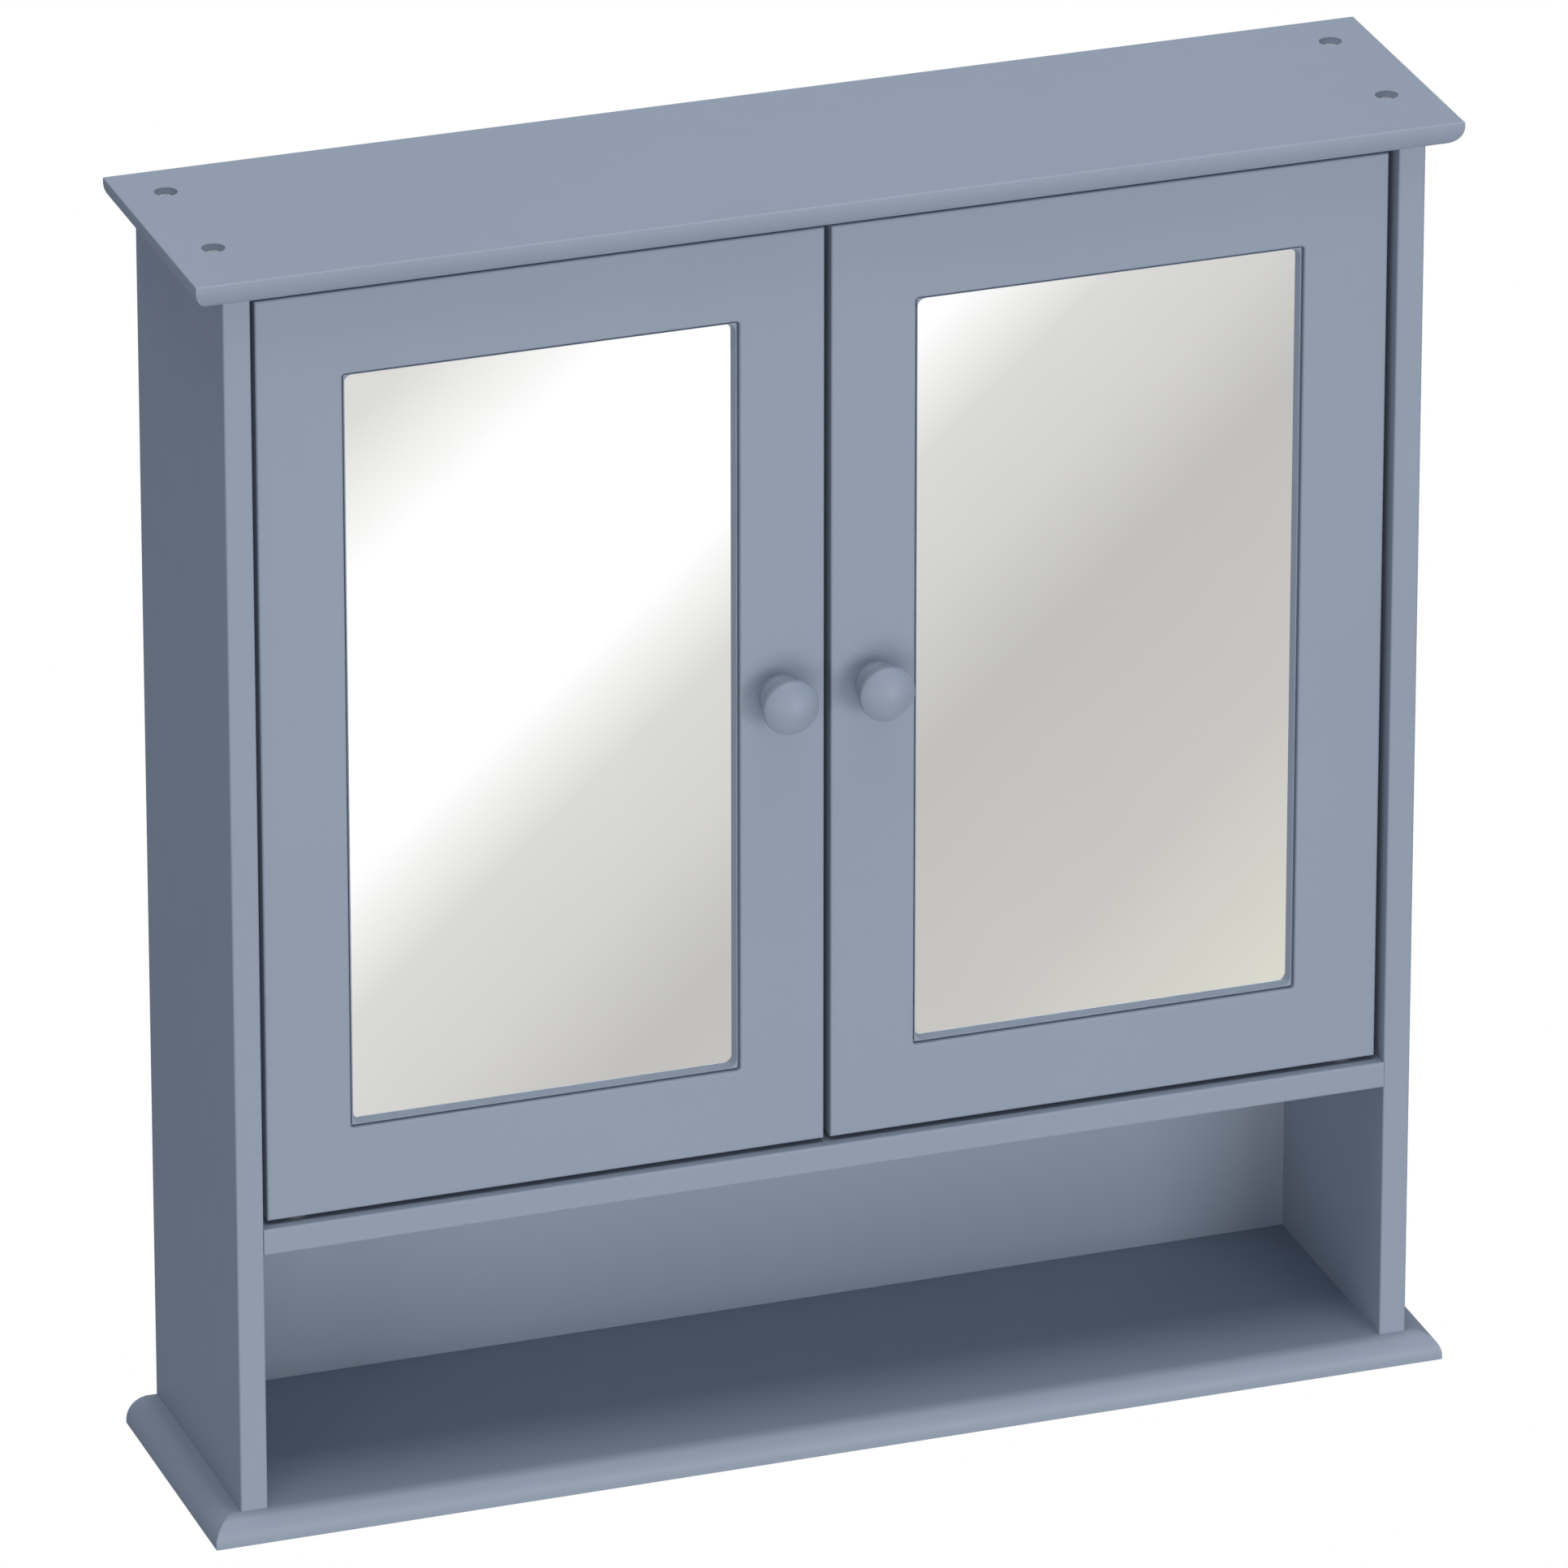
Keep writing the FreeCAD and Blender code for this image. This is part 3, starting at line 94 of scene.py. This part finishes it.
class Finish(Shader):
    """A surface material: a principled shader fed by a Shader's nodes."""

    def __init__(self, name, **constants):
        self.material = bpy.data.materials.new(name)
        self.material.use_nodes = True
        super().__init__(self.material.node_tree)
        self.surface = self.tree.nodes["Principled BSDF"]
        for socket, value in constants.items():
            self.surface.inputs[socket.replace("_", " ")].default_value = value

    def bump(self, height, distance, strength, under=None):
        """A bump whose distance is in metres, laid over the one under it."""
        inputs = {"Height": height, "Distance": distance, "Strength": strength}
        if under is not None:
            inputs["Normal"] = under
        return self.add("ShaderNodeBump", inputs).outputs["Normal"]

    def done(self, colour, roughness, normal=None):
        """Feed the shader and give back the finished material."""
        self.join(colour, self.surface.inputs["Base Color"])
        self.join(roughness, self.surface.inputs["Roughness"])
        if normal is not None:
            self.join(normal, self.surface.inputs["Normal"])
        return self.material


def opaque(colour):
    """The colour with its alpha."""
    return tuple(colour) + (1.0,)


def tone(colour, factor):
    """The colour, lighter or darker, with its alpha."""
    return opaque(channel * factor for channel in colour)


# ---- finishes ----

def painted_board():
    """Sprayed satin paint on fibreboard: orange peel, faint cloudiness, tiny nibs."""
    finish = Finish("painted_board", Specular_IOR_Level=0.35)
    cloud = finish.spread(finish.noise(7.0, detail=4.0, roughness=0.55), low=0.35, high=0.65)
    colour = finish.blend(cloud, tone(PAINT, 0.988), tone(PAINT, 1.012))
    nibs = finish.spread(finish.noise(1400.0, detail=2.0), low=0.64, high=0.74, end=0.3)
    colour = finish.blend(nibs, colour, tone(PAINT, 1.08))
    roughness = finish.spread(finish.noise(45.0), low=0.3, high=0.7, start=0.42, end=0.50)
    peel = finish.bump(finish.noise(620.0, detail=2.0), distance=0.00004, strength=0.5)
    wave = finish.bump(finish.noise(70.0, detail=2.0), distance=0.0001, strength=0.2, under=peel)
    return finish.done(colour, roughness, wave)


def mirror_glass():
    """Silvered float glass: one clean reflection, its tint uneven by a hair."""
    finish = Finish("mirror_glass", Metallic=1.0)
    haze = finish.spread(finish.noise(14.0), low=0.3, high=0.7)
    tint = finish.blend(haze, opaque((0.925, 0.932, 0.925)), opaque((0.94, 0.945, 0.94)))
    return finish.done(tint, roughness=0.0)


def hardboard():
    """Pressed wood fibre: short pale hairs on a cloudy brown."""
    finish = Finish("mirror_backing")
    squeezes = ((1.0, 1.0, 5.0), (5.0, 1.0, 1.0))
    along, across = (finish.noise(260.0, detail=6.0, roughness=0.7, vector=finish.stretched(squeeze))
                     for squeeze in squeezes)
    hairs = finish.spread(finish.maths("MULTIPLY", along, across), low=0.18, high=0.36)
    cloud = finish.spread(finish.noise(12.0), low=0.35, high=0.65)
    board = finish.blend(cloud, tone(HARDBOARD_BROWN, 0.96), tone(HARDBOARD_BROWN, 1.04))
    paleness = finish.maths("MULTIPLY", hairs, 0.35)
    colour = finish.blend(paleness, board, tone(HARDBOARD_BROWN, 1.7))
    roughness = finish.spread(hairs, low=0.0, high=1.0, start=0.58, end=0.7)
    return finish.done(colour, roughness, finish.bump(hairs, distance=0.00006, strength=0.5))


def bare_wood(name, colour, scale, grain_scale, rings=9.0):
    """Planed wood; grain_scale is small along the grain and large across it."""
    finish = Finish(name)
    grain = finish.stretched(grain_scale)
    bent = finish.noise(scale, vector=grain)
    bands = finish.maths("FRACT", finish.maths("MULTIPLY", bent, rings))
    late = finish.spread(bands, low=0.55, high=0.95)
    fine = finish.noise(scale * PORE_FINENESS, detail=2.0, roughness=0.6, vector=grain)
    pores = finish.spread(fine, low=0.5, high=0.75)
    wood = finish.blend(late, tone(colour, 1.08), tone(colour, 0.74))
    wood = finish.blend(finish.maths("MULTIPLY", pores, 0.4), wood, tone(colour, 0.55))
    roughness = finish.spread(pores, low=0.0, high=1.0, start=0.5, end=0.66)
    return finish.done(wood, roughness, finish.bump(pores, distance=0.00008, strength=-0.5))


def worked_metal(name, colour, rough_low, rough_high, scale, metallic=1.0):
    """Plated or ground metal: fine tool marks under cloudy plating."""
    finish = Finish(name, Metallic=metallic)
    across = finish.stretched((1.0, 1.0, 6.0))
    marks = finish.noise(scale, detail=4.0, roughness=0.6, vector=across)
    cloud = finish.spread(finish.noise(170.0), low=0.3, high=0.7)
    shade = finish.blend(cloud, tone(colour, 0.86), tone(colour, 1.1))
    roughness = finish.spread(marks, low=0.3, high=0.7, start=rough_low, end=rough_high)
    return finish.done(shade, roughness, finish.bump(marks, distance=0.00003, strength=0.5))


def moulded_plastic(name, colour, roughness):
    """Spark-eroded grain with faint flow lines."""
    finish = Finish(name, Specular_IOR_Level=0.45)
    grain = finish.noise(2600.0, detail=2.0)
    streaks = finish.noise(120.0, detail=2.0, vector=finish.stretched((1.0, 1.0, 4.0)))
    flow = finish.spread(streaks, low=0.3, high=0.7)
    shade = finish.blend(flow, tone(colour, 0.95), tone(colour, 1.04))
    uneven = finish.spread(grain, low=0.3, high=0.7, start=roughness * 0.85, end=roughness * 1.15)
    return finish.done(shade, uneven, finish.bump(grain, distance=0.00003, strength=0.5))


def ferrite():
    """Ground ferrite: near black with pale grains and grinding lines."""
    finish = Finish("magnet")
    grain = finish.spread(finish.noise(3200.0, roughness=0.7), low=0.6, high=0.8)
    lines = finish.noise(900.0, detail=2.0, vector=finish.stretched((0.08, 1.0, 1.0)))
    colour = finish.blend(grain, opaque((0.028, 0.028, 0.031)), opaque((0.12, 0.12, 0.125)))
    roughness = finish.spread(lines, low=0.3, high=0.7, start=0.38, end=0.55)
    return finish.done(colour, roughness, finish.bump(lines, distance=0.00004, strength=0.5))


MATERIALS = {
    "painted_board": painted_board(),
    "mirror_glass": mirror_glass(),
    "mirror_backing": hardboard(),
    "strip_wood": bare_wood("strip_wood", (0.55, 0.38, 0.21), 60.0, (1.0, 1.0, 0.06)),
    "dowel_wood": bare_wood("dowel_wood", (0.60, 0.42, 0.25), 90.0, (0.05, 1.0, 1.0)),
    "zinc_steel": worked_metal("zinc_steel", (0.80, 0.81, 0.83), 0.22, 0.38, 1100.0, 0.5),
    "pivot_steel": worked_metal("pivot_steel", (0.56, 0.57, 0.59), 0.16, 0.28, 2200.0),
    "insert_brass": worked_metal("insert_brass", (0.78, 0.57, 0.24), 0.2, 0.36, 1500.0),
    "nylon": moulded_plastic("nylon", (0.10, 0.105, 0.115), 0.45),
    "catch_plastic": moulded_plastic("catch_plastic", (0.80, 0.80, 0.78), 0.4),
    "magnet": ferrite(),
}

for name, obj in frame["nodes"].items():
    obj.data.materials.clear()
    obj.data.materials.append(MATERIALS[SLOT_OF[name]])


# ---- stage ----

# The camera and the mirrors see a white studio, and all other rays see a dimmer, cooler one.
# The floor also has a soft grey strip in front of the cabinet, which only the mirrors show: a
# painted reflection that puts shade into the mirrors.
# Its shades were matched by sampled colours to the photo's mirrors.
FLOOR_HEIGHT = -2.0
FLOOR_HALF = 30.0
LIT_POINT = Vector((0, -0.05, -0.25))
STRIP_ANGLE = math.radians(41.3)
STRIP_SHADES = [
    (-2.70, WHITE),
    (-2.27, (0.68, 0.665, 0.65)),
    (-2.12, (0.70, 0.69, 0.675)),
    (-1.99, WHITE),
    (-1.80, WHITE),
    (-1.70, (0.69, 0.68, 0.67)),
    (-1.60, (0.635, 0.625, 0.61)),
    (-1.50, (0.52, 0.51, 0.50)),
    (-1.30, (0.57, 0.555, 0.535)),
    (-1.12, (0.70, 0.69, 0.61)),
    (-0.70, WHITE),
]
STRIP_START = STRIP_SHADES[0][0]
STRIP_RUN = STRIP_SHADES[-1][0] - STRIP_START


# Painted reflection: these grey shades reach only the mirrors, as shade in what they reflect.
def strip_colour(shader):
    """The strip's shades, by distance along a level line that turns STRIP_ANGLE from +X."""
    x, y, _ = shader.axes()
    along = shader.maths("ADD", shader.maths("MULTIPLY", x, math.cos(STRIP_ANGLE)),
                         shader.maths("MULTIPLY", y, math.sin(STRIP_ANGLE)))
    share = shader.spread(along, STRIP_START, STRIP_START + STRIP_RUN)
    ramp = shader.add("ShaderNodeValToRGB", {"Fac": share})
    ramp.color_ramp.interpolation = "LINEAR"
    stops = ramp.color_ramp.elements
    for place, _ in STRIP_SHADES[1:-1]:
        stops.new((place - STRIP_START) / STRIP_RUN)
    for stop, (_, shade) in zip(stops, STRIP_SHADES):
        stop.color = opaque(shade)
    return ramp.outputs["Color"]


def studio_light(shader, mirrored):
    """Colour and strength: white to the camera, `mirrored` in mirrors, ambient for the rest."""
    rays = shader.add("ShaderNodeLightPath").outputs
    lit = shader.blend(rays["Is Singular Ray"], opaque(AMBIENT), mirrored)
    colour = shader.blend(rays["Is Camera Ray"], lit, opaque(WHITE))
    strength = shader.spread(rays["Is Singular Ray"], low=0.0, high=1.0,
                             start=1.0, end=MIRRORED_WHITE)
    return colour, strength


def floor_material():
    material = bpy.data.materials.new("floor")
    material.use_nodes = True
    shader = Shader(material.node_tree)
    colour, strength = studio_light(shader, strip_colour(shader))
    glow = shader.add("ShaderNodeEmission", {"Color": colour, "Strength": strength})
    shader.join(glow.outputs[0], shader.tree.nodes["Material Output"].inputs["Surface"])
    return material


def studio_world():
    studio = bpy.data.worlds.new("studio")
    bpy.context.scene.world = studio
    studio.use_nodes = True
    shader = Shader(studio.node_tree)
    background = studio.node_tree.nodes["Background"]
    colour, strength = studio_light(shader, opaque(WHITE))
    shader.join(colour, background.inputs["Color"])
    shader.join(strength, background.inputs["Strength"])


def studio_floor(height, half):
    """A square floor, hidden from the camera so that views from below can see past it."""
    mesh = bpy.data.meshes.new("floor")
    corners = [(x * half, y * half, height) for x, y in ((-1, -1), (1, -1), (1, 1), (-1, 1))]
    mesh.from_pydata(corners, [], [(0, 1, 2, 3)])
    mesh.materials.append(floor_material())
    obj = bpy.data.objects.new("floor", mesh)
    obj.visible_camera = False
    bpy.context.scene.collection.objects.link(obj)


def aim(obj, direction):
    """Turn a lamp or camera, which look down their own -Z, to face the direction."""
    obj.rotation_mode = "QUATERNION"
    obj.rotation_quaternion = direction.to_track_quat("-Z", "Y")


def softbox(name, azimuth, elevation, distance, side, power, colour, mirrored=True):
    """A square soft light: azimuth 0 is straight ahead of the doors, 90 to the right.

    One that isn't mirrored stays out of reflections, and still lights the cabinet.
    """
    data = bpy.data.lights.new(name, "AREA")
    data.shape = "SQUARE"
    data.size = side
    data.energy = power
    data.color = colour
    lamp = bpy.data.objects.new(name, data)
    lamp.visible_glossy = mirrored
    bpy.context.scene.collection.objects.link(lamp)
    turn, rise = math.radians(azimuth), math.radians(elevation)
    towards = Vector((math.sin(turn) * math.cos(rise), -math.cos(turn) * math.cos(rise),
                      math.sin(rise)))
    lamp.location = LIT_POINT + towards * distance
    aim(lamp, -towards)


studio_floor(FLOOR_HEIGHT, FLOOR_HALF)
studio_world()
softbox("low_softbox", azimuth=-8, elevation=-16, distance=3.0, side=2.4, power=41,
        colour=(1.0, 0.95, 0.90), mirrored=False)
softbox("front_softbox", azimuth=22, elevation=2, distance=3.0, side=1.2, power=23.5,
        colour=(0.95, 1.0, 1.0))
softbox("side_softbox", azimuth=-45, elevation=2, distance=3.0, side=0.8, power=8,
        colour=WHITE)
softbox("top_softbox", azimuth=0, elevation=88, distance=2.5, side=2.0, power=46.5,
        colour=(1.0, 1.0, 0.98))


# ---- camera ----

SENSOR_WIDTH = 36.0      # millimetres, as is the lens
CLIP_END = 100.0


def camera(place, yaw, pitch, lens):
    """A long lens; yaw turns right from +Y and pitch looks down, both in degrees."""
    data = bpy.data.cameras.new("camera")
    data.sensor_width = SENSOR_WIDTH
    data.lens = lens
    data.clip_end = CLIP_END
    cam = bpy.data.objects.new("camera", data)
    bpy.context.scene.collection.objects.link(cam)
    turn, drop = math.radians(yaw), math.radians(pitch)
    forward = Vector((math.sin(turn) * math.cos(drop), math.cos(turn) * math.cos(drop),
                      -math.sin(drop)))
    cam.location = place
    aim(cam, forward)
    bpy.context.scene.camera = cam


camera(place=(-2.043, -5.882, 2.497), yaw=19.34, pitch=24.01, lens=363.0)
bpy.context.scene.view_settings.view_transform = "Standard"
